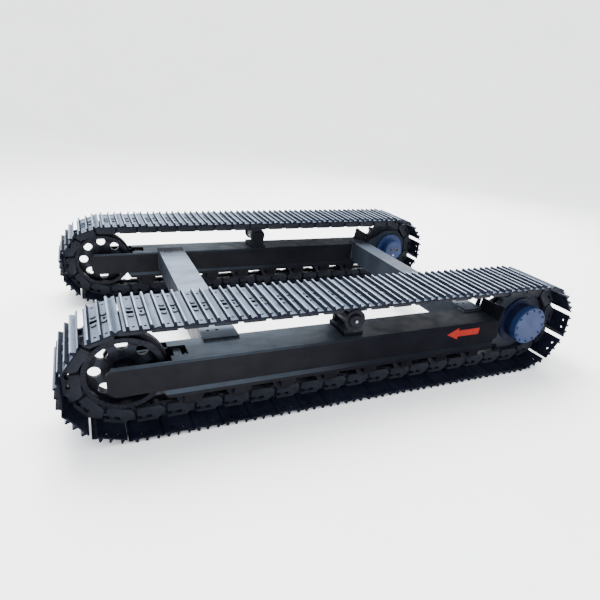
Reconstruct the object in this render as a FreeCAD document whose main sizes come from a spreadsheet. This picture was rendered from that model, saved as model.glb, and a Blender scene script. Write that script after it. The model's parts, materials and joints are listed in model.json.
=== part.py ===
import FreeCAD, Part
import math
import os
import Sketcher
from FreeCAD import Placement, Rotation, Vector

# Crawler undercarriage: two track frames joined by two crossbeams.
# +X runs from the idlers to the sprockets, +Z is up, the origin lies on the ground below the middle.
# All sizes are millimetres.

doc = FreeCAD.newDocument("crawler_undercarriage")
sheet = doc.addObject("Spreadsheet::Sheet", "dims")

DIMENSIONS = {
    # track layout
    "gauge": 2200, "pitch": 190, "wrap_links": 5, "run_links": 17, "ground_to_pitch": 90,
    # shoe, measured from the pitch line outward
    "shoe_width": 500, "shoe_under": 54.3, "shoe_top": 64, "grouser_top": 90,
    "shoe_front": 90, "shoe_back": 84, "lip_end": 112, "bolt_a": 32, "bolt_b": 32,
    "bolt_a_side": 59, "bolt_b_side": 50, "bolt_hole": 10, "corner_side": 205, "corner_hole": 9,
    "mud_hole": 21, "slot_hole": 8,
    # chain
    "rail": 46, "link_foot": 54, "link_in": 38, "link_mid": 62, "link_out": 86, "link_gap": 0.3,
    "link_end": 36,
    "pin_radius": 16, "pin_fit": 0.05, "pin_half": 87, "bushing_radius": 30, "bushing_half": 37.7,
    "bushing_bore": 16.4, "open_bore": 20,
    # shoe bolts
    "bolt_radius": 9, "bolt_flat": 15, "bolt_head": 9, "bolt_grip": 24,
    # sprocket and final drive
    "tooth_tip": 320, "tooth_half": 28, "tooth_gap": 31, "sprocket_bore": 150.5, "sprocket_dish": 226,
    "hub_radius": 150, "hub_flange": 200, "hub_flange_thick": 20, "hub_inner": 92, "hub_outer": 120,
    "spindle_radius": 90, "fit": 0.05, "spindle_tip": 60, "cover_radius": 163, "cover_face": 190,
    "cover_bolt_corner": 9.5,
    "motor_flange": 170, "motor_can": 115, "motor_end": 245, "bracket_in": 98, "bracket_out": 124.5,
    "bracket_bore": 96, "bracket_round": 215,
    # idler and its yoke
    "idler_tread": 246, "idler_flange": 268, "idler_rim_inner": 215, "idler_half": 84,
    "idler_flange_half": 34, "idler_web": 14, "idler_hub": 70, "idler_hub_half": 78,
    "idler_hole": 38, "idler_hole_at": 168, "idler_shaft": 35,
    "yoke_in": 92, "yoke_out": 118, "yoke_high": 50, "yoke_nose": 60, "yoke_back": 310,
    "yoke_block": 50, "rod_radius": 25, "rod_length": 480,
    # track and carrier rollers
    "roller_first": -1225, "roller_step": 330, "roller_count": 8, "roller_tread": 75,
    "roller_flange": 92, "roller_waist": 66, "roller_half": 110, "flange_in": 88.5, "flange_out": 104,
    "roller_shaft": 30, "collar_in": 112.5, "collar_out": 150, "collar_half": 48, "collar_drop": 38,
    "carrier_x": -55, "carrier_tread": 62, "carrier_flange": 80, "carrier_half": 100,
    "carrier_cap": 52, "carrier_shaft": 20, "rail_gap": 0.3,
    # side frames
    "frame_half": 150, "frame_inner": 125, "frame_top": 475, "frame_plate": 20, "face_low": 282,
    "foot_low": 235, "foot_out": 172, "frame_start": -1723, "frame_end": 1306, "fork_start": -1335,
    "fork_end": 1270, "slot_end": -1225, "slot_half": 62, "foot_start": -1400,
    "foot_end": 1250, "bevel": 12,
    "wedge_start": 1272, "wedge_top": 580, "wedge_slot": 90, "guard_inner": 96,
    # crossbeams
    "beam_low": 284, "beam_top": 497.5, "beam_seat": 475.5, "beam_plate": 16,
    "front_beam_x": -975, "front_beam_width": 245, "front_beam_reach": 1032,
    "rear_beam_x": 1183, "rear_beam_width": 176, "rear_beam_reach": 1040,
    "hole_at": 912, "hole_space": 62, "hole_radius": 11, "hole_shift": -38,
}
for row, (name, value) in enumerate(DIMENSIONS.items(), start=1):
    sheet.set("A%d" % row, name)
    sheet.set("B%d" % row, str(value))
    sheet.setAlias("B%d" % row, name)
doc.recompute()


def bound(text):
    """Turn a formula in sheet names into one an object outside the sheet can use."""
    words = sorted(DIMENSIONS, key=len, reverse=True)
    out, at = "", 0
    while at < len(text):
        word = next((w for w in words if text.startswith(w, at)), None)
        before = text[at - 1] if at else " "
        if word and not (before.isalnum() or before == "_"):
            out += "dims." + word
            at += len(word)
        else:
            out += text[at]
            at += 1
    return out


def size(formula):
    """Present value of a formula in sheet names."""
    return float(sheet.evalExpression(formula))


def new_body(label):
    body = doc.addObject("PartDesign::Body", label)
    body.Label = label
    return body


def plane(body, role):
    return next(f for f in body.Origin.OriginFeatures if f.Role == role)


def new_sketch(body, role):
    sketch = body.newObject("Sketcher::SketchObject", "sketch")
    sketch.AttachmentSupport = [(plane(body, role), "")]
    sketch.MapMode = "FlatFace"
    return sketch


def add_polygon(sketch, corners):
    """Closed outline whose every corner is tied to the sheet."""
    points = [Vector(size(u), size(v), 0) for u, v in corners]
    first = len(sketch.Geometry)
    count = len(points)
    for i in range(count):
        sketch.addGeometry(Part.LineSegment(points[i], points[(i + 1) % count]))
    for i in range(count):
        sketch.addConstraint(Sketcher.Constraint("Coincident", first + i, 2, first + (i + 1) % count, 1))
    for i, (u, v) in enumerate(corners):
        tie(sketch, "DistanceX", first + i, 1, u, points[i].x)
        tie(sketch, "DistanceY", first + i, 1, v, points[i].y)


def tie(sketch, kind, index, point, formula, value):
    number = sketch.addConstraint(Sketcher.Constraint(kind, -1, 1, index, point, value))
    sketch.setExpression("Constraints[%d]" % number, bound(formula))


def add_circle(sketch, u, v, radius):
    index = sketch.addGeometry(Part.Circle(Vector(size(u), size(v), 0), Vector(0, 0, 1), size(radius)))
    tie(sketch, "DistanceX", index, 3, u, size(u))
    tie(sketch, "DistanceY", index, 3, v, size(v))
    number = sketch.addConstraint(Sketcher.Constraint("Radius", index, size(radius)))
    sketch.setExpression("Constraints[%d]" % number, bound(radius))


def pad(body, sketch, length):
    """Thicken a sketch equally to both sides of its plane."""
    feature = body.newObject("PartDesign::Pad", "pad")
    feature.Profile = sketch
    feature.Midplane = True
    feature.setExpression("Length", bound(length))
    doc.recompute()
    return feature


def pocket(body, sketch, length="10000"):
    feature = body.newObject("PartDesign::Pocket", "pocket")
    feature.Profile = sketch
    feature.Midplane = True
    feature.setExpression("Length", bound(length))
    doc.recompute()
    return feature


def revolve(body, corners):
    """Turn an outline of (radius, sideways) corners about the body's Y axis."""
    sketch = new_sketch(body, "XY_Plane")
    add_polygon(sketch, corners)
    feature = body.newObject("PartDesign::Revolution", "turned")
    feature.Profile = sketch
    feature.ReferenceAxis = (sketch, ["V_Axis"])
    feature.Angle = 360
    doc.recompute()
    return feature


def ring_of(body, feature, count):
    """Repeat a feature evenly about the body's Y axis."""
    pattern = body.newObject("PartDesign::PolarPattern", "ring")
    pattern.Originals = [feature]
    pattern.Axis = (plane(body, "Y_Axis"), [""])
    pattern.Angle = 360
    pattern.Occurrences = count
    body.Tip = pattern
    doc.recompute()
    return pattern


# ---- chain masters, in a link's own frame: x along the chain, z outward from the pitch line ----
shoe = new_body("master_shoe")
outline = new_sketch(shoe, "XZ_Plane")
add_polygon(outline, [
    ("-shoe_front", "shoe_under"), ("shoe_back", "shoe_under"), ("shoe_back + 16", "shoe_top + 4"),
    ("lip_end", "shoe_top + 4"), ("lip_end", "shoe_top + 9"), ("96", "shoe_top + 9"),
    ("78", "shoe_top + 1"),
    ("67", "grouser_top"), ("57", "grouser_top"), ("50", "shoe_top"), ("14", "shoe_top"),
    ("9", "grouser_top"), ("-1", "grouser_top"), ("-7", "shoe_top"),
    ("-54", "shoe_top"), ("-60", "grouser_top"), ("-70", "grouser_top"), ("-76", "shoe_top"),
    ("-shoe_front", "shoe_top")])
pad(shoe, outline, "shoe_width")
shoe_holes = new_sketch(shoe, "XY_Plane")
for side in ("", "-"):
    add_circle(shoe_holes, "-bolt_a", side + "bolt_a_side", "bolt_hole")
    add_circle(shoe_holes, "bolt_b", side + "bolt_b_side", "bolt_hole")
    add_circle(shoe_holes, "-bolt_a", side + "corner_side", "corner_hole")
    add_circle(shoe_holes, "bolt_b", side + "corner_side", "corner_hole")
add_polygon(shoe_holes, [("-bolt_a - mud_hole", "-mud_hole"), ("-bolt_a + mud_hole", "-mud_hole + 4"),
                         ("-bolt_a + mud_hole", "mud_hole - 4"), ("-bolt_a - mud_hole", "mud_hole")])
add_polygon(shoe_holes, [("bolt_b - slot_hole", "-14"), ("bolt_b + slot_hole", "-14"),
                         ("bolt_b + slot_hole", "14"), ("bolt_b - slot_hole", "14")])
pocket(shoe, shoe_holes)

# One chain side link: pin end outboard at -x, bushing end inboard at +x.
link = new_body("master_link")
side_view = new_sketch(link, "XY_Plane")
add_polygon(side_view, [
    ("-pitch / 2 - link_end", "link_mid + link_gap"), ("-50", "link_mid + link_gap"), ("-40", "link_in"),
    ("pitch / 2 + link_end", "link_in"), ("pitch / 2 + link_end", "link_mid - link_gap"),
    ("50", "link_mid - link_gap"), ("40", "link_out"), ("-pitch / 2 - link_end", "link_out")])
pad(link, side_view, "2 * link_foot")
trim = new_sketch(link, "XZ_Plane")
for side in ("", "-"):
    add_polygon(trim, [(side + "(pitch / 2 - 14)", "link_foot"), (side + "(pitch / 2 + 45)", "-5"),
                       (side + "(pitch / 2 + 45)", "link_foot + 10"),
                       (side + "(pitch / 2 - 14)", "link_foot + 10")])
    add_polygon(trim, [(side + "(pitch / 2 + 12)", "-rail"), (side + "(pitch / 2 + 45)", "-8"),
                       (side + "(pitch / 2 + 45)", "-rail")])
add_polygon(trim, [("-pitch", "-rail"), ("pitch", "-rail"), ("pitch", "-rail - 20"),
                   ("-pitch", "-rail - 20")])
pocket(link, trim, "1000")
bores = new_sketch(link, "XZ_Plane")
add_circle(bores, "-pitch / 2", "0", "pin_radius + pin_fit")
add_circle(bores, "pitch / 2", "0", "open_bore")
pocket(link, bores, "1000")
bolt_holes = new_sketch(link, "XY_Plane")
add_circle(bolt_holes, "-bolt_a", "bolt_a_side", "bolt_hole")
add_circle(bolt_holes, "bolt_b", "bolt_b_side", "bolt_hole")
nut_seats = new_sketch(link, "XZ_Plane")
for middle in ("-bolt_a", "bolt_b"):
    add_polygon(nut_seats, [(middle + " - 17", "12"), (middle + " + 17", "12"), (middle + " + 17", "30"),
                            (middle + " + 9", "36"), (middle + " - 9", "36"), (middle + " - 17", "30")])
pocket(link, nut_seats, "1000")
sunk = link.newObject("PartDesign::Pocket", "sunk")
sunk.Profile = bolt_holes
sunk.Reversed = True
sunk.setExpression("Length", "dims.link_foot + 5")
sunk.Midplane = False
doc.recompute()

bushings = {}
for name, bore in (("snug", "bushing_bore"), ("open", "open_bore")):
    bushing = new_body("master_bushing_" + name)
    revolve(bushing, [(bore, "-bushing_half"), ("bushing_radius", "-bushing_half"),
                      ("bushing_radius", "bushing_half"), (bore, "bushing_half")])
    bushings[name] = bushing.Shape.copy()
pin = new_body("master_pin")
revolve(pin, [("0", "-pin_half"), ("pin_radius", "-pin_half"), ("pin_radius", "pin_half"),
              ("0", "pin_half")])

bolt = doc.addObject("Part::Cylinder", "master_bolt_shank")
bolt.setExpression("Radius", "dims.bolt_radius")
bolt.setExpression("Height", "dims.bolt_grip + dims.shoe_top - dims.shoe_under + 2")
bolt.setExpression("Placement.Base.z", "dims.shoe_under - dims.bolt_grip")
head = doc.addObject("Part::Prism", "master_bolt_head")
head.Polygon = 6
head.setExpression("Circumradius", "dims.bolt_flat / cos(30)")
head.setExpression("Height", "dims.bolt_head")
head.setExpression("Placement.Base.z", "dims.shoe_top + 0.05")
bolt_master = doc.addObject("Part::MultiFuse", "master_bolt")
bolt_master.Shapes = [bolt, head]
doc.recompute()

# ---- sprocket and final drive, each about its own Y axis, outboard at -y ----
sprocket = new_body("master_sprocket")
revolve(sprocket, [("sprocket_bore", "-tooth_half"), ("tooth_tip - 14", "-tooth_half"),
                   ("tooth_tip", "-tooth_half + 8"), ("tooth_tip", "tooth_half - 8"),
                   ("tooth_tip - 14", "tooth_half"), ("sprocket_bore", "tooth_half")])
PITCH_RADIUS = "pitch / 2 / sin(180 / (2 * wrap_links))"
gap = new_sketch(sprocket, "XZ_Plane")
corners = [("tooth_tip + 20", "-tooth_gap - 22"), (PITCH_RADIUS, "-tooth_gap")]
for step in range(1, 8):
    turn = math.radians(90 + 180 * step / 8)
    corners.append(("%s + tooth_gap * %.5f" % (PITCH_RADIUS, math.cos(turn)),
                    "-tooth_gap * %.5f" % math.sin(turn)))
corners += [(PITCH_RADIUS, "tooth_gap"), ("tooth_tip + 20", "tooth_gap + 22")]
add_polygon(gap, corners)
one_gap = pocket(sprocket, gap, "4 * tooth_half")
ring_of(sprocket, one_gap, 4 * int(size("wrap_links")))

hub = new_body("master_drive_hub")
revolve(hub, [("spindle_radius + fit", "hub_inner"), ("hub_radius", "hub_inner"),
              ("hub_radius", "-tooth_half - 0.3"), ("hub_flange", "-tooth_half - 0.3"),
              ("hub_flange", "-tooth_half - hub_flange_thick"),
              ("hub_radius + 4", "-tooth_half - hub_flange_thick"),
              ("hub_radius + 4", "-hub_outer"), ("0", "-hub_outer"), ("0", "-hub_outer + 14"),
              ("spindle_radius + fit", "-hub_outer + 14")])
cover = new_body("master_drive_cover")
revolve(cover, [("0", "-hub_outer - 0.3"), ("cover_radius", "-hub_outer - 0.3"),
                ("cover_radius", "-cover_face + 16"), ("cover_radius - 6", "-cover_face + 10"),
                ("0", "-cover_face + 10")])
stud = new_sketch(cover, "XZ_Plane")
add_circle(stud, "cover_radius - 22", "0", "5")
one_hole = pocket(cover, stud, "2 * (cover_face - 8)")
ring_of(cover, one_hole, 12)

cover_bolt = new_body("master_cover_bolt")
hexagon = new_sketch(cover_bolt, "XZ_Plane")
AROUND = [(math.cos(math.radians(60 * i)), math.sin(math.radians(60 * i))) for i in range(6)]
add_polygon(hexagon, [("cover_radius - 22 + cover_bolt_corner * %.5f" % c, "cover_bolt_corner * %.5f" % w)
                      for c, w in AROUND])
pad(cover_bolt, hexagon, "2 * cover_face")
inner_cut = new_sketch(cover_bolt, "XZ_Plane")
add_polygon(inner_cut, [("0", "-40"), ("cover_radius + 20", "-40"), ("cover_radius + 20", "40"),
                        ("0", "40")])
pocket(cover_bolt, inner_cut, "2 * (cover_face - 9.9)")
far_cut = new_sketch(cover_bolt, "XY_Plane")
add_polygon(far_cut, [("0", "0"), ("cover_radius + 20", "0"), ("cover_radius + 20", "cover_face + 20"),
                      ("0", "cover_face + 20")])
pocket(cover_bolt, far_cut, "200")

motor = new_body("master_travel_motor")
revolve(motor, [("0", "-spindle_tip"), ("spindle_radius", "-spindle_tip"),
                ("spindle_radius", "bracket_out + 0.3"), ("motor_flange", "bracket_out + 0.3"),
                ("motor_flange", "bracket_out + 22"),
                ("motor_can", "bracket_out + 22"), ("motor_can", "motor_end - 12"),
                ("motor_can - 12", "motor_end"), ("0", "motor_end")])

# ---- idler, rollers ----
idler = new_body("master_idler")
revolve(idler, [("idler_shaft + fit", "-idler_hub_half"), ("idler_hub", "-idler_hub_half"),
                ("idler_hub", "-idler_web"), ("idler_rim_inner", "-idler_web"),
                ("idler_rim_inner", "-idler_half"), ("idler_tread", "-idler_half"),
                ("idler_tread", "-idler_flange_half"), ("idler_flange", "-idler_flange_half + 6"),
                ("idler_flange", "idler_flange_half - 6"), ("idler_tread", "idler_flange_half"),
                ("idler_tread", "idler_half"), ("idler_rim_inner", "idler_half"),
                ("idler_rim_inner", "idler_web"), ("idler_hub", "idler_web"),
                ("idler_hub", "idler_hub_half"), ("idler_shaft + fit", "idler_hub_half")])
lightening = new_sketch(idler, "XZ_Plane")
add_circle(lightening, "idler_hole_at", "0", "idler_hole")
one_hole = pocket(idler, lightening, "4 * idler_half")
ring_of(idler, one_hole, 8)

roller = new_body("master_track_roller")
revolve(roller, [("roller_shaft + fit", "-roller_half"), ("46", "-roller_half"), ("50", "-flange_out"),
                 ("roller_flange", "-flange_out"), ("roller_flange", "-flange_in - 3"),
                 ("roller_tread", "-flange_in + 2"), ("roller_tread", "-link_in + 4"),
                 ("roller_waist", "-link_in + 10"), ("roller_waist", "link_in - 10"),
                 ("roller_tread", "link_in - 4"), ("roller_tread", "flange_in - 2"),
                 ("roller_flange", "flange_in + 3"), ("roller_flange", "flange_out"),
                 ("50", "flange_out"), ("46", "roller_half"), ("roller_shaft + fit", "roller_half")])
carrier = new_body("master_carrier_roller")
revolve(carrier, [("0", "-carrier_half - 18"), ("carrier_cap - 10", "-carrier_half - 18"),
                  ("carrier_cap", "-carrier_half - 8"), ("carrier_cap", "-carrier_half"),
                  ("carrier_flange", "-carrier_half"), ("carrier_flange", "-flange_in - 2"),
                  ("carrier_tread", "-flange_in + 2"), ("carrier_tread", "flange_in - 2"),
                  ("carrier_flange", "flange_in + 2"), ("carrier_flange", "carrier_half"),
                  ("carrier_shaft + fit", "carrier_half"), ("carrier_shaft + fit", "-carrier_half + 20"),
                  ("0", "-carrier_half + 20")])

# ---- right-hand side frame: inverted channel with forked ends ----
frame = new_body("master_side_frame")
section = new_sketch(frame, "YZ_Plane")
add_polygon(section, [
    ("-frame_half + bevel", "frame_top"), ("-frame_half", "frame_top - bevel"), ("-frame_half", "face_low"),
    ("-foot_out", "foot_low + 26"), ("-foot_out", "foot_low"), ("-frame_inner + 12", "foot_low"),
    ("-frame_inner + 12", "foot_low + 26"), ("-frame_inner", "foot_low + 40"),
    ("-frame_inner", "frame_top - frame_plate"), ("frame_inner", "frame_top - frame_plate"),
    ("frame_inner", "foot_low + 40"), ("frame_inner - 12", "foot_low + 26"),
    ("frame_inner - 12", "foot_low"),
    ("foot_out", "foot_low"), ("foot_out", "foot_low + 26"), ("frame_half", "face_low"),
    ("frame_half", "frame_top - bevel"), ("frame_half - bevel", "frame_top")])
pad(frame, section, "2 * 1800")
ends = new_sketch(frame, "XZ_Plane")
add_polygon(ends, [("-1900", "0"), ("-1900", "600"), ("frame_start + 30", "600"),
                   ("frame_start + 30", "frame_top"), ("frame_start", "frame_top - 40"),
                   ("frame_start", "face_low + 40"),
                   ("frame_start + 40", "face_low"), ("foot_start", "face_low"),
                   ("foot_start + 30", "foot_low"), ("foot_start + 30", "0")])
add_polygon(ends, [("1900", "0"), ("1900", "600"), ("frame_end", "600"), ("frame_end", "frame_top"),
                   ("frame_end - 16", "foot_low + 80"), ("foot_end", "foot_low + 60"), ("foot_end", "0")])
pocket(frame, ends, "2000")
forks = new_sketch(frame, "XY_Plane")
add_polygon(forks, [("-1900", "-frame_inner"), ("fork_start", "-frame_inner"), ("fork_start", "-slot_half"),
                    ("slot_end", "-slot_half"), ("slot_end", "slot_half"), ("fork_start", "slot_half"),
                    ("fork_start", "frame_inner"), ("-1900", "frame_inner")])
add_polygon(forks, [("fork_end", "-frame_inner"), ("1900", "-frame_inner"), ("1900", "frame_inner"),
                    ("fork_end", "frame_inner")])
pocket(frame, forks, "2000")

# The sprocket end carries a raised wedge on each cheek, closed by a plate with a slot for the sprocket.
wedge = new_sketch(frame, "XZ_Plane")
add_polygon(wedge, [("wedge_start", "frame_top - 30"), ("frame_end", "frame_top - 30"),
                    ("frame_end + 6", "wedge_top"), ("frame_end - 12", "wedge_top"),
                    ("wedge_start", "frame_top")])
pad(frame, wedge, "2 * frame_half")
closure = new_sketch(frame, "XZ_Plane")
add_polygon(closure, [("frame_end - 28", "foot_low + 80"), ("frame_end - 12", "foot_low + 80"),
                      ("frame_end + 4", "wedge_top - 4"), ("frame_end - 14", "wedge_top - 4")])
pad(frame, closure, "2 * frame_half - 2")
below = new_sketch(frame, "XY_Plane")
add_polygon(below, [("fork_end", "-wedge_slot"), ("1900", "-wedge_slot"), ("1900", "frame_inner"),
                    ("fork_end", "frame_inner")])
pocket(frame, below, "2000")

# A guard plate stands across the frame's top, between the crossbeam and the sprocket teeth.
guard = new_sketch(frame, "XZ_Plane")
guard.setExpression("AttachmentOffset.Base.z", "(dims.frame_half - 1 - dims.guard_inner) / 2")
add_polygon(guard, [
    ("fork_end - 8", "frame_top - 18"), ("fork_end + 13", "frame_top - 18"),
    ("fork_end + 19", "frame_top + 1"), ("frame_end - 1", "wedge_top - 4"),
    ("frame_end - 15", "wedge_top - 4"), ("fork_end + 3.5", "frame_top - 0.2"),
    ("fork_end - 8", "frame_top - 0.2")])
pad(frame, guard, "frame_half - 1 + guard_inner")

# ---- crossbeams: hollow box with a wide top plate that laps over both side frames ----
beams = {}
for name in ("front", "rear"):
    beam = new_body(name + "_crossbeam_blank")
    tube = new_sketch(beam, "XZ_Plane")
    half = name + "_beam_width / 2"
    add_polygon(tube, [("-" + half, "beam_low"), (half, "beam_low"), (half, "beam_top"),
                       ("-" + half, "beam_top")])
    add_polygon(tube, [("-" + half + " + beam_plate", "beam_low + beam_plate"),
                       (half + " - beam_plate", "beam_low + beam_plate"),
                       (half + " - beam_plate", "beam_seat"), ("-" + half + " + beam_plate", "beam_seat")])
    pad(beam, tube, "gauge - 2 * frame_half - 0.6")
    lid = new_sketch(beam, "XY_Plane")
    add_polygon(lid, [("-" + half, "-%s_beam_reach" % name), (half, "-%s_beam_reach" % name),
                      (half, "%s_beam_reach" % name), ("-" + half, "%s_beam_reach" % name)])
    lid.AttachmentOffset = Placement(Vector(0, 0, (size("beam_top") + size("beam_seat")) / 2), Rotation())
    lid.setExpression("AttachmentOffset.Base.z", "(dims.beam_top + dims.beam_seat) / 2")
    pad(beam, lid, "beam_top - beam_seat")
    holes = new_sketch(beam, "XY_Plane")
    holes.AttachmentOffset = Placement(Vector(0, 0, size("beam_top")), Rotation())
    holes.setExpression("AttachmentOffset.Base.z", "dims.beam_top")
    for side in ("", "-"):
        for along in ("+", "-"):
            add_circle(holes, "hole_shift " + along + " hole_space / 2", side + "hole_at", "hole_radius")
    pocket(beam, holes, "1000")
    beams[name] = beam

# ---- inner bracket plate that carries the travel motor ----
bracket = new_body("master_motor_bracket")
plate = new_sketch(bracket, "XZ_Plane")
add_polygon(plate, [("-470", "-95"), ("-470", "54"), ("-343", "54"), ("-340", "78"), ("-190", "150"),
                    ("-90", "bracket_round"), ("90", "bracket_round"), ("bracket_round - 10", "90"),
                    ("bracket_round - 10", "-90"),
                    ("90", "-bracket_round + 20"), ("-90", "-bracket_round + 20"), ("-200", "-120")])
pad(bracket, plate, "bracket_out - bracket_in")
opening = new_sketch(bracket, "XZ_Plane")
add_circle(opening, "0", "0", "bracket_bore")
pocket(bracket, opening, "1000")

# ---- yoke, track roller shaft and carrier bracket are machined from plain blocks ----


def block(label, x, y, z, across, deep, high):
    """Box centred on x and y, standing on z."""
    item = doc.addObject("Part::Box", label)
    item.setExpression("Length", bound(across))
    item.setExpression("Width", bound(deep))
    item.setExpression("Height", bound(high))
    item.setExpression("Placement.Base.x", bound("%s - (%s) / 2" % (x, across)))
    item.setExpression("Placement.Base.y", bound("%s - (%s) / 2" % (y, deep)))
    item.setExpression("Placement.Base.z", bound(z))
    return item


def shaft(label, radius, start, length, turn=Rotation(Vector(1, 0, 0), -90), axis="y"):
    """Cylinder along y from the start value, or along x when the axis says so."""
    item = doc.addObject("Part::Cylinder", label)
    item.Placement = Placement(Vector(), turn)
    item.setExpression("Radius", bound(radius))
    item.setExpression("Height", bound(length))
    item.setExpression("Placement.Base." + axis, bound(start))
    return item


def fuse(label, items):
    item = doc.addObject("Part::MultiFuse", label)
    item.Shapes = items
    return item


def cut(label, base, tool):
    item = doc.addObject("Part::Cut", label)
    item.Base = base
    item.Tool = tool
    return item


ALONG_X = Rotation(Vector(0, 1, 0), 90)
ARM_LONG = "yoke_nose + yoke_back + yoke_block"
ARM_MIDDLE = "(yoke_back + yoke_block - yoke_nose) / 2"
arms = [block("yoke_arm", ARM_MIDDLE, side + "(yoke_in + yoke_out) / 2", "-yoke_high", ARM_LONG,
              "yoke_out - yoke_in", "2 * yoke_high") for side in ("", "-")]
bridge = block("yoke_bridge", "yoke_back + yoke_block / 2", "0", "-yoke_high", "yoke_block",
               "2 * yoke_out", "2 * yoke_high")
push_rod = shaft("yoke_rod", "rod_radius", "yoke_back + yoke_block / 2", "rod_length", ALONG_X, "x")
yoke = cut("master_yoke", fuse("yoke_solid", arms + [bridge, push_rod]),
           shaft("yoke_bore", "idler_shaft + fit", "-yoke_out - 10", "2 * yoke_out + 20"))
idler_pin = shaft("master_idler_shaft", "idler_shaft", "-yoke_out", "2 * yoke_out")

collars = [block("collar", "0", side + "(collar_in + collar_out) / 2", "-collar_drop", "2 * collar_half",
                 "collar_out - collar_in", "collar_drop + foot_low - 0.3 - ground_to_pitch - rail"
                 " - rail_gap - roller_tread") for side in ("", "-")]
roller_shaft = fuse("master_roller_shaft",
                    collars + [shaft("roller_pin", "roller_shaft", "-collar_in", "2 * collar_in")])

CARRIER_Z = "ground_to_pitch + 2 * %s - rail - rail_gap - carrier_tread" % PITCH_RADIUS
post = block("carrier_post", "0", "carrier_half + 26", "frame_top + 0.3 - (%s)" % CARRIER_Z, "110", "36",
             "%s - frame_top + 45" % CARRIER_Z)
base = block("carrier_base", "0", "22", "frame_top + 0.3 - (%s)" % CARRIER_Z, "150", "244", "30")
carrier_pin = shaft("carrier_pin", "carrier_shaft", "-carrier_half + 30", "2 * carrier_half + 10")
carrier_bracket = fuse("master_carrier_bracket", [post, base, carrier_pin])
cylinder = cut("master_cylinder", shaft("cylinder_body", "48", "0", "250", ALONG_X, "x"),
               shaft("cylinder_bore", "rod_radius + 0.5", "-1", "230", ALONG_X, "x"))
stop = block("master_stop", "270", "0", "-56", "36", "2 * frame_inner - 1", "112")
doc.recompute()

# Recoil spring: a helix has no sheet-bound primitive that sweeps cleanly, so its shape is set here.
coil = Part.Wire(Part.makeHelix(34, 374, 39))
wire_end = Part.Wire(Part.makeCircle(8, Vector(39, 0, 0), Vector(0, 1, 0)))
spring_shape = Part.Wire(coil).makePipeShell([wire_end], True, True)
spring_shape.rotate(Vector(), Vector(0, 1, 0), 90)

# ---- places ----
P = size("pitch")
R = size(PITCH_RADIUS)
HALF_RUN = size("run_links") * P / 2
XI = -HALF_RUN
XS = HALF_RUN
ZC = size("ground_to_pitch") + R
SIDES = {"right": -size("gauge") / 2, "left": size("gauge") / 2}
WRAP = int(size("wrap_links"))
RUN = int(size("run_links"))


def chain_pins():
    """Pitch points once round the track: top run, sprocket, bottom run, idler."""
    step = math.pi / WRAP
    points = [(XI + P * i, ZC + R) for i in range(RUN)]
    points += [(XS + R * math.sin(step * j), ZC + R * math.cos(step * j)) for j in range(WRAP)]
    points += [(XS - P * i, ZC - R) for i in range(RUN)]
    points += [(XI - R * math.sin(step * j), ZC - R * math.cos(step * j)) for j in range(WRAP)]
    return points


GROUPS = {"top_run": range(0, RUN), "sprocket_wrap": range(RUN, RUN + WRAP),
          "bottom_run": range(RUN + WRAP, 2 * RUN + WRAP),
          "idler_wrap": range(2 * RUN + WRAP, 2 * RUN + 2 * WRAP)}
POINTS = chain_pins()


def link_place(k, y):
    (x0, z0), (x1, z1) = POINTS[k], POINTS[(k + 1) % len(POINTS)]
    turn = Rotation(Vector(0, 1, 0), math.degrees(math.atan2(z0 - z1, x1 - x0)))
    return Placement(Vector((x0 + x1) / 2, y, (z0 + z1) / 2), turn)


def shift(x, y=0.0, z=0.0):
    return Placement(Vector(x, y, z), Rotation())


def placed(shape, place):
    copy = shape.copy()
    copy.Placement = place.multiply(shape.Placement)
    return copy


def add_node(name, shapes):
    """One sub-part made of finished solids, each already in its place."""
    item = doc.addObject("Part::Feature", name)
    item.Label = name
    item.Shape = Part.makeCompound(shapes) if len(shapes) > 1 else shapes[0]
    NODES.append(item)


def mirrored(shape, side):
    """Masters are drawn for the right-hand side; the left-hand one is its mirror image."""
    return shape.mirror(Vector(), Vector(0, 1, 0)) if side == "left" else shape


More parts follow.
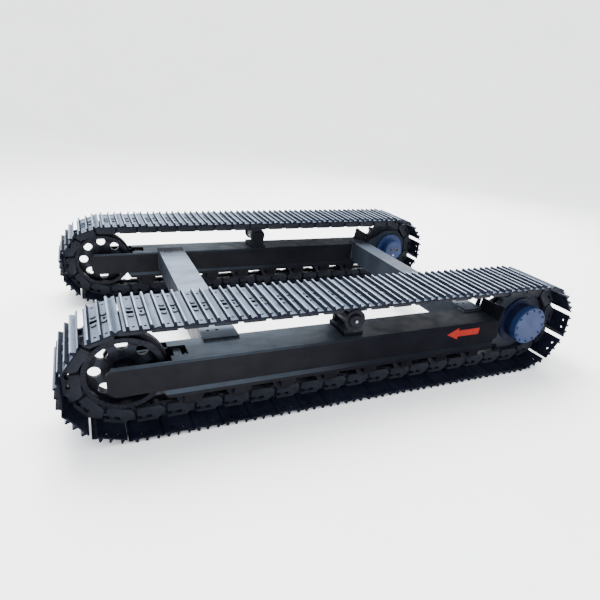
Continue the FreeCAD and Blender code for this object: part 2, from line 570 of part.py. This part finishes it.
NODES = []
other_link = link.Shape.mirror(Vector(), Vector(0, 1, 0))
bolt_spots = [(-size("bolt_a"), s * size("bolt_a_side")) for s in (1, -1)]
bolt_spots += [(size("bolt_b"), s * size("bolt_b_side")) for s in (1, -1)]
last_links = [group[-1] for group in GROUPS.values()]
for side, y in SIDES.items():
    for group, numbers in GROUPS.items():
        shoes, links, bolts = [], [], []
        for k in numbers:
            place = link_place(k, y)
            shoes.append(placed(shoe.Shape, place))
            links.append(placed(link.Shape, place))
            links.append(placed(other_link, place))
            links.append(placed(pin.Shape, place.multiply(shift(-P / 2))))
            barrel = bushings["open" if k in last_links else "snug"]
            links.append(placed(barrel, place.multiply(shift(P / 2))))
            for u, v in bolt_spots:
                bolts.append(placed(bolt_master.Shape, place.multiply(shift(u, v))))
        add_node("%s_shoes_%s" % (group, side), shoes)
        add_node("%s_links_%s" % (group, side), links)
        add_node("%s_bolts_%s" % (group, side), bolts)
    at_sprocket = shift(XS, y, ZC)
    at_idler = shift(XI, y, ZC)
    add_node("sprocket_" + side, [placed(sprocket.Shape, at_sprocket)])
    add_node("drive_hub_" + side, [placed(mirrored(hub.Shape, side), at_sprocket)])
    cover_set = [placed(mirrored(cover.Shape, side), at_sprocket)]
    for number in range(12):
        place = at_sprocket.multiply(Placement(Vector(), Rotation(Vector(0, 1, 0), 30 * number)))
        cover_set.append(placed(mirrored(cover_bolt.Shape, side), place))
    add_node("drive_cover_" + side, cover_set)
    add_node("idler_" + side, [placed(idler.Shape, at_idler)])
    for number in range(int(size("roller_count"))):
        x = size("roller_first") + number * size("roller_step")
        z = size("ground_to_pitch + rail + rail_gap + roller_tread")
        add_node("track_roller_%d_%s" % (number + 1, side), [placed(roller.Shape, shift(x, y, z))])
    at_carrier = shift(size("carrier_x"), y, size(CARRIER_Z))
    add_node("carrier_roller_" + side, [placed(mirrored(carrier.Shape, side), at_carrier)])
    add_node("side_frame_" + side, [placed(mirrored(frame.Shape, side), shift(0, y))])

yokes, recoils, motors, brackets, shafts, carriers = [], [], [], [], [], []
for side, y in SIDES.items():
    at_idler = shift(XI, y, ZC)
    at_sprocket = shift(XS, y, ZC)
    yokes += [placed(yoke.Shape, at_idler), placed(idler_pin.Shape, at_idler)]
    back = XI + size("yoke_back + yoke_block")
    recoils.append(placed(spring_shape, shift(back + 10, y, ZC)))
    recoils.append(placed(cylinder.Shape, shift(back + 400, y, ZC)))
    recoils.append(placed(stop.Shape, shift(back + 400, y, ZC)))
    motors.append(placed(mirrored(motor.Shape, side), at_sprocket))
    inward = 1 if side == "right" else -1
    middle = inward * (size("bracket_in") + size("bracket_out")) / 2
    brackets.append(placed(bracket.Shape, at_sprocket.multiply(shift(0, middle))))
    z = size("ground_to_pitch + rail + rail_gap + roller_tread")
    for number in range(int(size("roller_count"))):
        x = size("roller_first") + number * size("roller_step")
        shafts.append(placed(roller_shaft.Shape, shift(x, y, z)))
    at_carrier = shift(size("carrier_x"), y, size(CARRIER_Z))
    carriers.append(placed(mirrored(carrier_bracket.Shape, side), at_carrier))
add_node("idler_yokes", yokes)
add_node("recoil_units", recoils)
add_node("travel_motors", motors)
add_node("motor_brackets", brackets)
add_node("roller_shafts", shafts)
add_node("carrier_brackets", carriers)
for name, beam in beams.items():
    add_node("crossbeam_" + name, [placed(beam.Shape, shift(size(name + "_beam_x")))])
doc.recompute()

for item in doc.Objects:
    bad = {"Invalid", "Error"} & set(item.State)
    if bad:
        raise RuntimeError("%s is %s" % (item.Name, bad))
os.makedirs("parts", exist_ok=True)
for item in NODES:
    if item.Shape.isNull() or not item.Shape.isValid():
        raise RuntimeError(item.Label + " has no valid shape")
    item.Shape.exportStep("parts/%s.step" % item.Label)
everything = Part.makeCompound([item.Shape for item in NODES])
print(len(NODES), "sub-parts", everything.BoundBox)
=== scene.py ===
import json
import math

import bmesh
import bpy
from mathutils import Matrix, Vector


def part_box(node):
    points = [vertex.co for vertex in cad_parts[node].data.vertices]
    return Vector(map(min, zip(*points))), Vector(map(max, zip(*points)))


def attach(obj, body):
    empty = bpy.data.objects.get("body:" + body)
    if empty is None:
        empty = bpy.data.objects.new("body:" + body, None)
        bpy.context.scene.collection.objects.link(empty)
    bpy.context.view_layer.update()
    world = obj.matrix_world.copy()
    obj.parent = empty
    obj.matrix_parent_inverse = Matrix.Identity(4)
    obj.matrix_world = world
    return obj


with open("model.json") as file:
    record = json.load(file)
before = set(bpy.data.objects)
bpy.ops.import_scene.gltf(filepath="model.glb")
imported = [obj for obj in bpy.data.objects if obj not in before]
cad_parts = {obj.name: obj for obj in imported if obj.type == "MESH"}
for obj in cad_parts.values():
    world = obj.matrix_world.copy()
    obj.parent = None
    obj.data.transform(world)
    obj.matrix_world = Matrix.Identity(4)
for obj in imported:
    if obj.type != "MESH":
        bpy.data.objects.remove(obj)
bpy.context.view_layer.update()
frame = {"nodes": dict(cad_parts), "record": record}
NODES = frame["nodes"]
RECORD = frame["record"]
SIDES = {"right": -1.0, "left": 1.0}

# Metres, as in the CAD: the wheels' centres, each track's centre line, half a side frame's width above its
# foot, and how far in from the centre line a motor ends.
WHEEL_X = 1.615
WHEEL_Z = 0.39743
TRACK_Y = 1.1
FRAME_HALF = 0.150
MOTOR_INSET = 0.245

# Metres: height of the beads round the crossbeams' top plates, rounding of large pieces, and rounding of links
# and bolts. Then the corners round a bead.
LAP_Z = 0.4765
EDGE = 0.003
SMALL_EDGE = 0.0022
BEAD_SIDES = 8


# ---------------------------------------------------------------- materials
def shade(value):
    """A grey number or an (r, g, b) colour as the four numbers that Blender takes."""
    if isinstance(value, (int, float)):
        return (value, value, value, 1.0)
    return (*value, 1.0)


class Shader:
    """Small helper that builds one node material."""

    def __init__(self, name):
        self.material = bpy.data.materials.new(name)
        self.material.use_nodes = True
        self.tree = self.material.node_tree
        self.bsdf = self.tree.nodes["Principled BSDF"]
        self.coord = self.tree.nodes.new("ShaderNodeTexCoord")
        self.where = self.coord.outputs["Object"]

    def plug(self, socket, value):
        """Join a socket to another node's output, or set it to a plain value."""
        if hasattr(value, "is_linked"):
            self.tree.links.new(value, socket)
        else:
            socket.default_value = value

    def scaled(self, x, y, z):
        """Object coordinates stretched per axis, for grain with a direction."""
        node = self.tree.nodes.new("ShaderNodeMapping")
        node.inputs["Scale"].default_value = (x, y, z)
        self.plug(node.inputs["Vector"], self.where)
        return node.outputs["Vector"]

    def noise(self, scale, detail=4.0, rough=0.55, where=None):
        """Fractal noise from 0 to 1."""
        node = self.tree.nodes.new("ShaderNodeTexNoise")
        node.inputs["Scale"].default_value = scale
        node.inputs["Detail"].default_value = detail
        node.inputs["Roughness"].default_value = rough
        self.plug(node.inputs["Vector"], where or self.where)
        return node.outputs["Fac"]

    def ramp(self, value, stops):
        """Colour ramp over (position, colour) stops, given in rising order."""
        node = self.tree.nodes.new("ShaderNodeValToRGB")
        node.color_ramp.interpolation = "EASE"
        ramp = node.color_ramp.elements
        ramp[0].position, ramp[0].color = stops[0][0], shade(stops[0][1])
        ramp[1].position, ramp[1].color = stops[-1][0], shade(stops[-1][1])
        for position, colour in stops[1:-1]:
            ramp.new(position).color = shade(colour)
        self.plug(node.inputs["Fac"], value)
        return node.outputs["Color"]

    def mix(self, factor, first, second):
        """Blend of two colours. Inputs 6 and 7 and output 2 are the node's colour sockets."""
        node = self.tree.nodes.new("ShaderNodeMix")
        node.data_type = "RGBA"
        sockets = (node.inputs["Factor"], node.inputs[6], node.inputs[7])
        for socket, value in zip(sockets, (factor, first, second)):
            self.plug(socket, value)
        return node.outputs[2]

    def math(self, kind, *values):
        """One operation on numbers."""
        node = self.tree.nodes.new("ShaderNodeMath")
        node.operation = kind
        for socket, value in zip(node.inputs, values):
            self.plug(socket, value)
        return node.outputs[0]

    def vector(self, kind, *values):
        """One operation on vectors."""
        node = self.tree.nodes.new("ShaderNodeVectorMath")
        node.operation = kind
        for socket, value in zip(node.inputs, values):
            self.plug(socket, value)
        return node.outputs["Value"] if kind in ("DOT_PRODUCT", "LENGTH") else node.outputs["Vector"]

    def parts_of(self, value):
        """The x, y and z of a vector."""
        node = self.tree.nodes.new("ShaderNodeSeparateXYZ")
        self.plug(node.inputs[0], value)
        return node.outputs

    def joined(self, x, y, z):
        """A vector from its x, y and z."""
        node = self.tree.nodes.new("ShaderNodeCombineXYZ")
        for socket, value in zip(node.inputs, (x, y, z)):
            self.plug(socket, value)
        return node.outputs[0]

    def edge(self, low, high):
        """1 along convex edges, from the surface's pointiness."""
        geometry = self.tree.nodes.new("ShaderNodeNewGeometry")
        return self.ramp(geometry.outputs["Pointiness"], [(low, 0.0), (high, 1.0)])

    def upward(self, low, high):
        """1 on faces that look up."""
        return self.ramp(self.parts_of(self.coord.outputs["Normal"])["Z"], [(low, 0.0), (high, 1.0)])

    def spoke(self):
        """Vector from the middle line between the two wheel centres out to the surface."""
        x, y, z = self.parts_of(self.where)
        across = self.math("SUBTRACT", x, self.math("MINIMUM", self.math("MAXIMUM", x, -WHEEL_X), WHEEL_X))
        return self.joined(across, 0.0, self.math("SUBTRACT", z, WHEEL_Z))

    def bump(self, height, strength, distance):
        """Fine relief on the surface."""
        node = self.tree.nodes.new("ShaderNodeBump")
        node.inputs["Strength"].default_value = strength
        node.inputs["Distance"].default_value = distance
        self.plug(node.inputs["Height"], height)
        self.plug(self.bsdf.inputs["Normal"], node.outputs["Normal"])

    def set(self, **values):
        """Join or set inputs of the surface, with _ for each space in a name."""
        for name, value in values.items():
            self.plug(self.bsdf.inputs[name.replace("_", " ")], value)


def paint(name, base, dark, top, shine, rough, gloss, wear=0.25, away=1.0, under=1.0):
    """Painted steel: mottled colour, a painted sheen on upward faces, thin scuffs and orange peel.

    The painted sheen and its gloss fade, as painted shade, to the share away towards the sprockets and to the
    share under below the tracks.
    """
    s = Shader(name)
    colour = s.ramp(s.noise(4.0, 6.0, 0.6), [(0.30, dark), (0.70, base)])
    # film is only the mottle of the painted sheen, the pale top colour that stands in for reflected sky light.
    film = s.ramp(s.noise(2.2, 7.0, 0.62, s.scaled(1.0, 2.2, 1.0)), [(0.25, 0.45), (0.70, 1.0)])
    x, y, z = s.parts_of(s.where)
    # Painted shade: the sheen and the gloss fade to away towards the sprockets and to under beyond |y| 0.84.
    sheen_shade_fade = s.math("MULTIPLY", s.ramp(s.math("MULTIPLY_ADD", x, 0.25, 0.5), [(0.24, 1.0), (0.58, away)]),
                  s.ramp(s.math("ABSOLUTE", y), [(0.84, 1.0), (0.94, under)]))
    # Upward faces take the top colour: a painted sheen.
    painted_sheen = s.math("MULTIPLY", s.upward(0.55, 0.95), s.math("MULTIPLY", film, sheen_shade_fade))
    colour = s.mix(painted_sheen, colour, shade(top))
    chip = s.ramp(s.noise(55.0, 8.0, 0.7), [(0.60, 0.0), (0.72, 1.0)])
    chip = s.math("MULTIPLY", s.math("MULTIPLY", s.edge(0.56, 0.66), chip), wear)
    colour = s.mix(chip, colour, shade(shine))
    rubbed = s.ramp(s.noise(9.0, 9.0, 0.72, s.scaled(0.35, 1.0, 3.0)), [(0.62, 0.0), (0.80, 1.0)])
    colour = s.mix(s.math("MULTIPLY", rubbed, 0.10), colour, shade(shine))
    s.set(Base_Color=colour, Metallic=0.0, Specular_IOR_Level=s.math("MULTIPLY", sheen_shade_fade, gloss),
          Roughness=s.ramp(s.noise(11.0, 6.0), [(0.32, rough - 0.07), (0.70, rough + 0.10)]))
    s.bump(s.noise(240.0, 3.0), 0.08, 0.0005)
    return s.material


def forged(name, base, dark, shine, metallic, rough, wear=0.5, gloss=0.1):
    """Dark forged or cast steel: blotchy scale, lightly polished edges, fine pits."""
    s = Shader(name)
    colour = s.ramp(s.noise(9.0, 8.0, 0.65), [(0.30, dark), (0.66, base)])
    colour = s.mix(s.math("MULTIPLY", s.edge(0.54, 0.64), wear), colour, shade(shine))
    grit = s.ramp(s.noise(7.0, 9.0, 0.75), [(0.55, 0.0), (0.78, 1.0)])
    colour = s.mix(s.math("MULTIPLY", grit, 0.12), colour, shade((0.020, 0.017, 0.016)))
    s.set(Base_Color=colour, Metallic=metallic, Specular_IOR_Level=gloss,
          Roughness=s.ramp(s.noise(30.0, 6.0), [(0.30, rough - 0.10), (0.70, rough + 0.15)]))
    s.bump(s.noise(170.0, 8.0, 0.7), 0.25, 0.0010)
    return s.material


def shoe_steel(name, tip_low, tip_high):
    """Track shoes: lit blue-grey steel on faces turned out of the loop, near-black painted shade on faces
    turned into it, and lighter grouser tips, worn bare and also a painted highlight.
    """
    s = Shader(name)
    spoke = s.spoke()
    # out is 1 on faces turned out of the track's loop; faces turned into it get the near-black dark colour, a
    # painted shade.
    out = s.ramp(s.vector("DOT_PRODUCT", s.vector("NORMALIZE", spoke), s.coord.outputs["Normal"]),
                 [(0.15, 0.0), (0.80, 1.0)])
    # tip is 1 out on the grouser tips, where the colour is worn bare steel made lighter as a painted
    # highlight.
    tip = s.ramp(s.vector("LENGTH", spoke), [(tip_low, 0.0), (tip_high, 1.0)])
    # Near-black painted shade for faces turned into the loop.
    dark = s.ramp(s.noise(8.0, 7.0, 0.6), [(0.30, (0.0025, 0.0030, 0.0062)),
                                           (0.70, (0.0058, 0.0068, 0.0130))])
    plate = s.ramp(s.noise(6.0, 8.0, 0.66), [(0.28, SHOE_DARK), (0.50, SHOE_BASE), (0.74, SHOE_PALE)])
    grain = s.ramp(s.noise(26.0, 9.0, 0.72, s.scaled(3.0, 0.5, 1.0)), [(0.38, 0.0), (0.70, 1.0)])
    plate = s.mix(s.math("MULTIPLY", grain, 0.45), plate, shade(SHOE_DARK))
    # Grouser-tip colour: worn bare steel, lightened as a painted highlight.
    tip_wear_and_highlight = s.ramp(s.noise(31.0, 8.0, 0.7, s.scaled(1.0, 0.35, 1.0)), [(0.30, SHOE_PALE), (0.66, SHOE_TIP)])
    plate = s.mix(tip, plate, tip_wear_and_highlight)
    colour = s.mix(out, dark, plate)
    s.set(Base_Color=colour, Metallic=s.math("MULTIPLY", out, 0.35),
          Specular_IOR_Level=s.math("MULTIPLY_ADD", out, 0.20, 0.05),
          Roughness=s.ramp(s.noise(24.0, 6.0), [(0.30, 0.36), (0.72, 0.58)]))
    s.bump(s.noise(150.0, 8.0, 0.7), 0.22, 0.0010)
    return s.material


def plain(name, base, dark, rough, metallic=0.0, gloss=0.3):
    """Small fittings: one mottled colour with a fine grain."""
    s = Shader(name)
    s.set(Base_Color=s.ramp(s.noise(38.0, 7.0, 0.65), [(0.30, dark), (0.68, base)]), Metallic=metallic,
          Specular_IOR_Level=gloss,
          Roughness=s.ramp(s.noise(60.0, 4.0), [(0.30, rough - 0.08), (0.70, rough + 0.12)]))
    s.bump(s.noise(260.0, 5.0), 0.15, 0.0005)
    return s.material


SHOE_DARK = (0.031, 0.042, 0.062)
SHOE_BASE = (0.064, 0.088, 0.128)
SHOE_PALE = (0.105, 0.140, 0.190)
# SHOE_TIP: grouser-tip colour, worn steel lightened as a painted highlight.
SHOE_TIP = (0.180, 0.236, 0.315)
RUN_SHOES = shoe_steel("shoe_steel_runs", 0.384, 0.396)
WRAP_SHOES = shoe_steel("shoe_steel_wraps", 0.379, 0.387)
MATERIALS = {
    "chain_steel": forged("forged_chain", (0.0042, 0.0045, 0.0085), (0.0020, 0.0022, 0.0045),
                          (0.026, 0.030, 0.040), 0.1, 0.50),
    "bolt_steel": forged("dark_bolts", (0.016, 0.019, 0.027), (0.006, 0.007, 0.011),
                         (0.12, 0.14, 0.18), 0.4, 0.44),
    "sprocket_steel": forged("cast_sprocket", (0.0050, 0.0055, 0.0100), (0.0025, 0.0028, 0.0055),
                             (0.030, 0.035, 0.048), 0.1, 0.48),
    "roller_steel": forged("roller_black", (0.0046, 0.0050, 0.0090), (0.0022, 0.0025, 0.0050),
                           (0.035, 0.040, 0.055), 0.1, 0.46),
    "bare_steel": forged("oiled_spring", (0.12, 0.12, 0.125), (0.05, 0.05, 0.055),
                         (0.32, 0.32, 0.34), 0.8, 0.36, gloss=0.5),
    # In each paint() call the third colour is the painted sheen on upward faces.
    "cover_paint": paint("blue_paint", (0.0085, 0.0215, 0.075), (0.0058, 0.0145, 0.052),
                         (0.015, 0.032, 0.092),
                         (0.07, 0.09, 0.14), 0.44, 0.18, 0.4),
    "drive_paint": paint("navy_paint", (0.0045, 0.0070, 0.026), (0.0028, 0.0045, 0.016),
                         (0.009, 0.014, 0.036),
                         (0.04, 0.05, 0.08), 0.48, 0.14),
    # frame_paint: away=0.10 darkens its sheen towards the sprockets as painted shade.
    "frame_paint": paint("charcoal_paint", (0.0052, 0.0054, 0.0078), (0.0032, 0.0034, 0.0050),
                         (0.068, 0.090, 0.118), (0.05, 0.055, 0.07), 0.52, 0.08, away=0.10),
    # beam_paint: under=0.12 darkens its sheen on the laps below the tracks, a painted shadow of the top runs.
    "beam_paint": paint("slate_paint", (0.015, 0.019, 0.026), (0.009, 0.012, 0.017), (0.125, 0.155, 0.200),
                        (0.12, 0.14, 0.17), 0.48, 0.12, away=0.30, under=0.12),
}
BEAD = plain("weld_bead", (0.026, 0.031, 0.040), (0.008, 0.010, 0.014), 0.44)
FITTING = plain("plated_fitting", (0.34, 0.35, 0.37), (0.16, 0.165, 0.18), 0.30, 0.85, 0.5)
CAP = plain("port_cap", (0.007, 0.007, 0.009), (0.0035, 0.0035, 0.005), 0.55)
ARROW = plain("arrow_red", (0.215, 0.0125, 0.0075), (0.160, 0.0090, 0.0055), 0.55, 0.0, 0.05)

SLOT_OF = {part["node"]: part["material_slot"] for part in RECORD["subparts"]}
for name, node in NODES.items():
    look = MATERIALS.get(SLOT_OF[name]) or (WRAP_SHOES if "_wrap_" in name else RUN_SHOES)
    node.data.materials.clear()
    node.data.materials.append(look)
    soft_edge = node.modifiers.new("soft_edge", "BEVEL")
    soft_edge.width = SMALL_EDGE if "_bolts_" in name or "_links_" in name else EDGE
    soft_edge.segments = 2
    soft_edge.limit_method = "ANGLE"
    soft_edge.angle_limit = math.radians(32)
    soft_edge.use_clamp_overlap = True
    soft_edge.harden_normals = False


# ---------------------------------------------------------------- small pieces
def placed(name, data):
    """New object in the scene."""
    item = bpy.data.objects.new(name, data)
    bpy.context.scene.collection.objects.link(item)
    return item


def finish_mesh(name, bm, material, smooth=True, body="chassis"):
    """Turn bm into a piece of one material that rides on body."""
    mesh = bpy.data.meshes.new(name)
    bmesh.ops.recalc_face_normals(bm, faces=bm.faces)
    bm.to_mesh(mesh)
    bm.free()
    for face in mesh.polygons:
        face.use_smooth = smooth
    mesh.materials.append(material)
    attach(placed(name, mesh), body)


def skin_rings(bm, rings):
    """Faces from each ring of corners to the next, and a cap on both ends."""
    count = len(rings[0])
    for low, high in zip(rings, rings[1:]):
        for i in range(count):
            j = (i + 1) % count
            bm.faces.new((low[i], low[j], high[j], high[i]))
    bm.faces.new(rings[0][::-1])
    bm.faces.new(rings[-1])


def turned(bm, outline, place, axis, sides=28):
    """Add a body of revolution: outline is (along, radius) pairs from one end to the other."""
    axis = Vector(axis).normalized()
    first = axis.orthogonal().normalized()
    second = axis.cross(first)
    rings = []
    for along, radius in outline:
        ring = []
        for i in range(sides):
            turn = 2 * math.pi * i / sides
            offset = first * (radius * math.cos(turn)) + second * (radius * math.sin(turn))
            ring.append(bm.verts.new(Vector(place) + axis * along + offset))
        rings.append(ring)
    skin_rings(bm, rings)


def bead(name, corners, out, radius=0.0045):
    """Weld bead along a path: a half-sunk tube whose ripples follow the torch. out points off the joint."""
    bm = bmesh.new()
    points = []
    for a, b in zip(corners, corners[1:]):
        a, b = Vector(a), Vector(b)
        steps = max(2, int((b - a).length / 0.006))
        points += [a.lerp(b, i / steps) for i in range(steps)]
    points.append(Vector(corners[-1]))
    rings = []
    for i, point in enumerate(points):
        ahead = (points[min(i + 1, len(points) - 1)] - points[max(i - 1, 0)]).normalized()
        side = ahead.cross(Vector(out)).normalized()
        lift = side.cross(ahead)
        swell = radius * (1.0 + 0.16 * math.sin(i * 2.1) + 0.07 * math.sin(i * 0.73))
        ring = []
        for k in range(BEAD_SIDES):
            turn = 2 * math.pi * k / BEAD_SIDES
            corner = point + side * (swell * math.cos(turn)) + lift * (swell * math.sin(turn))
            ring.append(bm.verts.new(corner))
        rings.append(ring)
    skin_rings(bm, rings)
    finish_mesh(name, bm, BEAD)


def beam_welds():
    """Beads where each crossbeam's top plate laps over a side frame, and along its box below."""
    clear = 0.0015
    web_low, web_high = 0.300, 0.468
    inner = TRACK_Y - FRAME_HALF
    for name in ("front", "rear"):
        low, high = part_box("crossbeam_" + name)
        near, far, outer = low[0] - clear, high[0] + clear, high[1] + clear
        for side, s in SIDES.items():
            start, corner, web = s * (inner + 0.004), s * outer, s * (inner - 0.001)
            path = [(near, start, LAP_Z), (near, corner, LAP_Z), (far, corner, LAP_Z), (far, start, LAP_Z)]
            bead("bead_lap_%s_%s" % (name, side), path, (0, 0, 1))
            for tag, x, away in (("a", low[0], -1), ("b", high[0], 1)):
                bead("bead_web_%s_%s_%s" % (name, side, tag), [(x, web, web_low), (x, web, web_high)],
                     (away, -s, 0))


def arrows():
    """Painted arrow near the sprocket end of each frame's outer face, pointing to the idler."""
    tail, neck, point = 1.085, 0.872, 0.765
    middle, half_shaft, half_head = 0.404, 0.026, 0.050
    film = 0.0003
    outline = [(point, middle), (neck, middle + half_head), (neck, middle + half_shaft),
               (tail, middle + half_shaft + 0.003), (tail - 0.004, middle - half_shaft),
               (neck, middle - half_shaft), (neck, middle - half_head)]
    for side, s in SIDES.items():
        bm = bmesh.new()
        skin = s * (TRACK_Y + FRAME_HALF + film)
        corners = [bm.verts.new((x, skin, z)) for x, z in outline]
        face = bm.faces.new(corners)
        grown = bmesh.ops.extrude_face_region(bm, geom=[face])
        for vert in (v for v in grown["geom"] if isinstance(v, bmesh.types.BMVert)):
            vert.co.y += s * 2 * film
        finish_mesh("arrow_" + side, bm, ARROW, smooth=False)


def hex_outline(across, start, end):
    """Outline for turned() of a hexagon with broken edges, across being its radius."""
    return [(start, across * 0.92), (start + 0.0015, across), (end - 0.0015, across), (end, across * 0.92)]


def motor_fittings():
    """Two capped hydraulic unions and a drain plug on the end of each travel motor."""
    for side, s in SIDES.items():
        face = TRACK_Y - MOTOR_INSET
        for tag, x, z in (("a", -0.042, 0.018), ("b", 0.042, 0.018)):
            place = (WHEEL_X + x, s * (face + 0.011), WHEEL_Z + z)
            bm = bmesh.new()
            turned(bm, hex_outline(0.021, -0.006, 0.014), place, (0, -s, 0), 6)
            finish_mesh("union_%s_%s" % (tag, side), bm, FITTING, smooth=False)
            bm = bmesh.new()
            turned(bm, [(0.012, 0.0165), (0.016, 0.018), (0.032, 0.0175), (0.036, 0.015), (0.037, 0.006)],
                   place, (0, -s, 0))
            finish_mesh("port_cap_%s_%s" % (tag, side), bm, CAP)
        bm = bmesh.new()
        place = (WHEEL_X, s * (face + 0.006), WHEEL_Z - 0.052)
        turned(bm, hex_outline(0.011, -0.004, 0.009), place, (0, -s, 0), 6)
        finish_mesh("drain_plug_" + side, bm, FITTING, smooth=False)


def carrier_plugs():
    """Hex plug in the end cap of each carrier roller."""
    for side, s in SIDES.items():
        bm = bmesh.new()
        roller = "carrier_roller_" + side
        low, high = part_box(roller)
        middle = (Vector(low) + Vector(high)) / 2
        end = high[1] if s > 0 else -low[1]
        place = (middle[0], s * end, middle[2])
        turned(bm, hex_outline(0.012, -0.003, 0.007), place, (0, s, 0), 6)
        finish_mesh("carrier_plug_" + side, bm, FITTING, smooth=False, body=roller)


beam_welds()
arrows()
motor_fittings()
carrier_plugs()


# ---------------------------------------------------------------- stage, light, camera
VIEW = math.radians(64.52)


def floor():
    """Pale studio sweep: flat under the object, curving up far behind it."""
    ahead = Vector((math.cos(VIEW), math.sin(VIEW), 0.0))
    across = Vector((-ahead.y, ahead.x, 0.0))
    flat, bend, height = 16.0, 9.0, 26.0
    steps = 20
    lanes = (-60.0, -20.0, 20.0, 60.0)
    profile = [(-24.0, 0.0), (0.0, 0.0), (flat * 0.5, 0.0)]
    for i in range(steps + 1):
        turn = 0.5 * math.pi * i / steps
        profile.append((flat + bend * math.sin(turn), bend * (1 - math.cos(turn))))
    profile.append((flat + bend, height))
    bm = bmesh.new()
    rows = [[bm.verts.new(ahead * u + across * v + Vector((0, 0, w))) for v in lanes] for u, w in profile]
    for near, far in zip(rows, rows[1:]):
        for i in range(len(lanes) - 1):
            bm.faces.new((near[i], near[i + 1], far[i + 1], far[i]))
    mesh = bpy.data.meshes.new("floor")
    bm.to_mesh(mesh)
    bm.free()
    for face in mesh.polygons:
        face.use_smooth = True
    item = placed("floor", mesh)
    s = Shader("pale_floor")
    s.set(Base_Color=s.ramp(s.noise(0.6, 3.0), [(0.3, (0.90, 0.90, 0.905)), (0.7, (0.93, 0.93, 0.93))]),
          Roughness=0.85, Specular_IOR_Level=0.1)
    mesh.materials.append(s.material)


def lamp(name, place, aim, power, wide):
    """White square area light at place, facing aim."""
    data = bpy.data.lights.new(name, "AREA")
    data.energy = power
    data.size = wide
    item = placed(name, data)
    item.location = place
    item.rotation_euler = (Vector(aim) - Vector(place)).to_track_quat("-Z", "Y").to_euler()


def camera():
    """Seen from the idler end's right-hand side, a little above, with a slight roll."""
    elevation, roll = math.radians(25.34), math.radians(5.08)
    place = Vector((-1.744, -3.931, 2.025))
    forward = Vector((math.cos(elevation) * math.cos(VIEW), math.cos(elevation) * math.sin(VIEW),
                      -math.sin(elevation)))
    right = Vector((math.sin(VIEW), -math.cos(VIEW), 0.0))
    up = right.cross(forward)
    side = right * math.cos(roll) + up * math.sin(roll)
    top = -right * math.sin(roll) + up * math.cos(roll)
    data = bpy.data.cameras.new("camera")
    data.sensor_width = 36.0
    data.lens = 29.58
    data.shift_x = -0.0088
    data.shift_y = 0.0445
    data.clip_end = 200.0
    item = placed("camera", data)
    turn = Matrix((side, top, -forward)).transposed()
    item.matrix_world = Matrix.Translation(place) @ turn.to_4x4()
    bpy.context.scene.camera = item


def sky():
    """Even, faintly cool light from all round."""
    world = bpy.data.worlds.new("studio")
    world.use_nodes = True
    background = world.node_tree.nodes["Background"]
    background.inputs["Color"].default_value = (0.95, 0.97, 1.0, 1.0)
    background.inputs["Strength"].default_value = 3.0
    bpy.context.scene.world = world


floor()
lamp("key", (-1.5, 2.5, 7.5), (0, 0, 0.3), 2100, 5.0)
lamp("rim", (6.0, 5.0, 5.0), (0, 0, 0.4), 700, 4.0)
sky()
camera()
